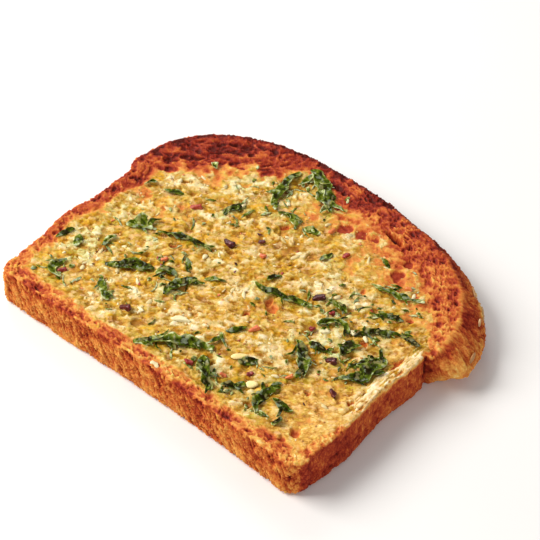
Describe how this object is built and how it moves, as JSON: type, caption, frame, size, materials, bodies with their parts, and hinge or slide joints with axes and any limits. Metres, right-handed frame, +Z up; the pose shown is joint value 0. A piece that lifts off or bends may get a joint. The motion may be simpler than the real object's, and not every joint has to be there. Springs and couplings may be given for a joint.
{
  "type": "garlic toast",
  "caption": "Thick toasted slice of domed bread spread with garlic butter, with wilted herb leaves, chilli flakes and seeds on its open crumb, lying flat.",
  "frame": {"origin": "middle of the flat underside", "axes": "+X along the slice's base edge, +Y from the base edge to the dome, +Z up out of the spread side"},
  "size_m": [0.1313, 0.1052, 0.0148],
  "materials": {
    "toasted_bread": "toasted crumb, golden and buttery in the middle, browned to dark at the rim, matt crust",
    "wilted_herb": "dark green wilted leaf, damp with butter",
    "chilli_flake": "dried chilli skin, dark red to purple, slightly glossy",
    "chilli_seed": "pale yellow smooth seed",
    "garlic_granule": "pale cream minced garlic, damp"
  },
  "bodies": {
    "root": {"toast_slice": "toasted_bread", "herb_leaf_01": "wilted_herb", "herb_leaf_02": "wilted_herb", "herb_leaf_03": "wilted_herb", "herb_leaf_04": "wilted_herb", "herb_leaf_05": "wilted_herb", "herb_leaf_06": "wilted_herb", "herb_leaf_07": "wilted_herb", "herb_leaf_08": "wilted_herb", "herb_leaf_09": "wilted_herb", "herb_leaf_10": "wilted_herb", "herb_leaf_11": "wilted_herb", "herb_leaf_12": "wilted_herb", "herb_leaf_13": "wilted_herb", "herb_leaf_14": "wilted_herb", "herb_leaf_15": "wilted_herb", "herb_leaf_16": "wilted_herb", "herb_leaf_17": "wilted_herb", "herb_leaf_18": "wilted_herb", "herb_leaf_19": "wilted_herb", "herb_leaf_20": "wilted_herb", "herb_leaf_21": "wilted_herb", "herb_leaf_22": "wilted_herb", "herb_leaf_23": "wilted_herb", "herb_leaf_24": "wilted_herb", "herb_leaf_25": "wilted_herb", "herb_leaf_26": "wilted_herb", "herb_leaf_27": "wilted_herb"}
  },
  "joints": []
}
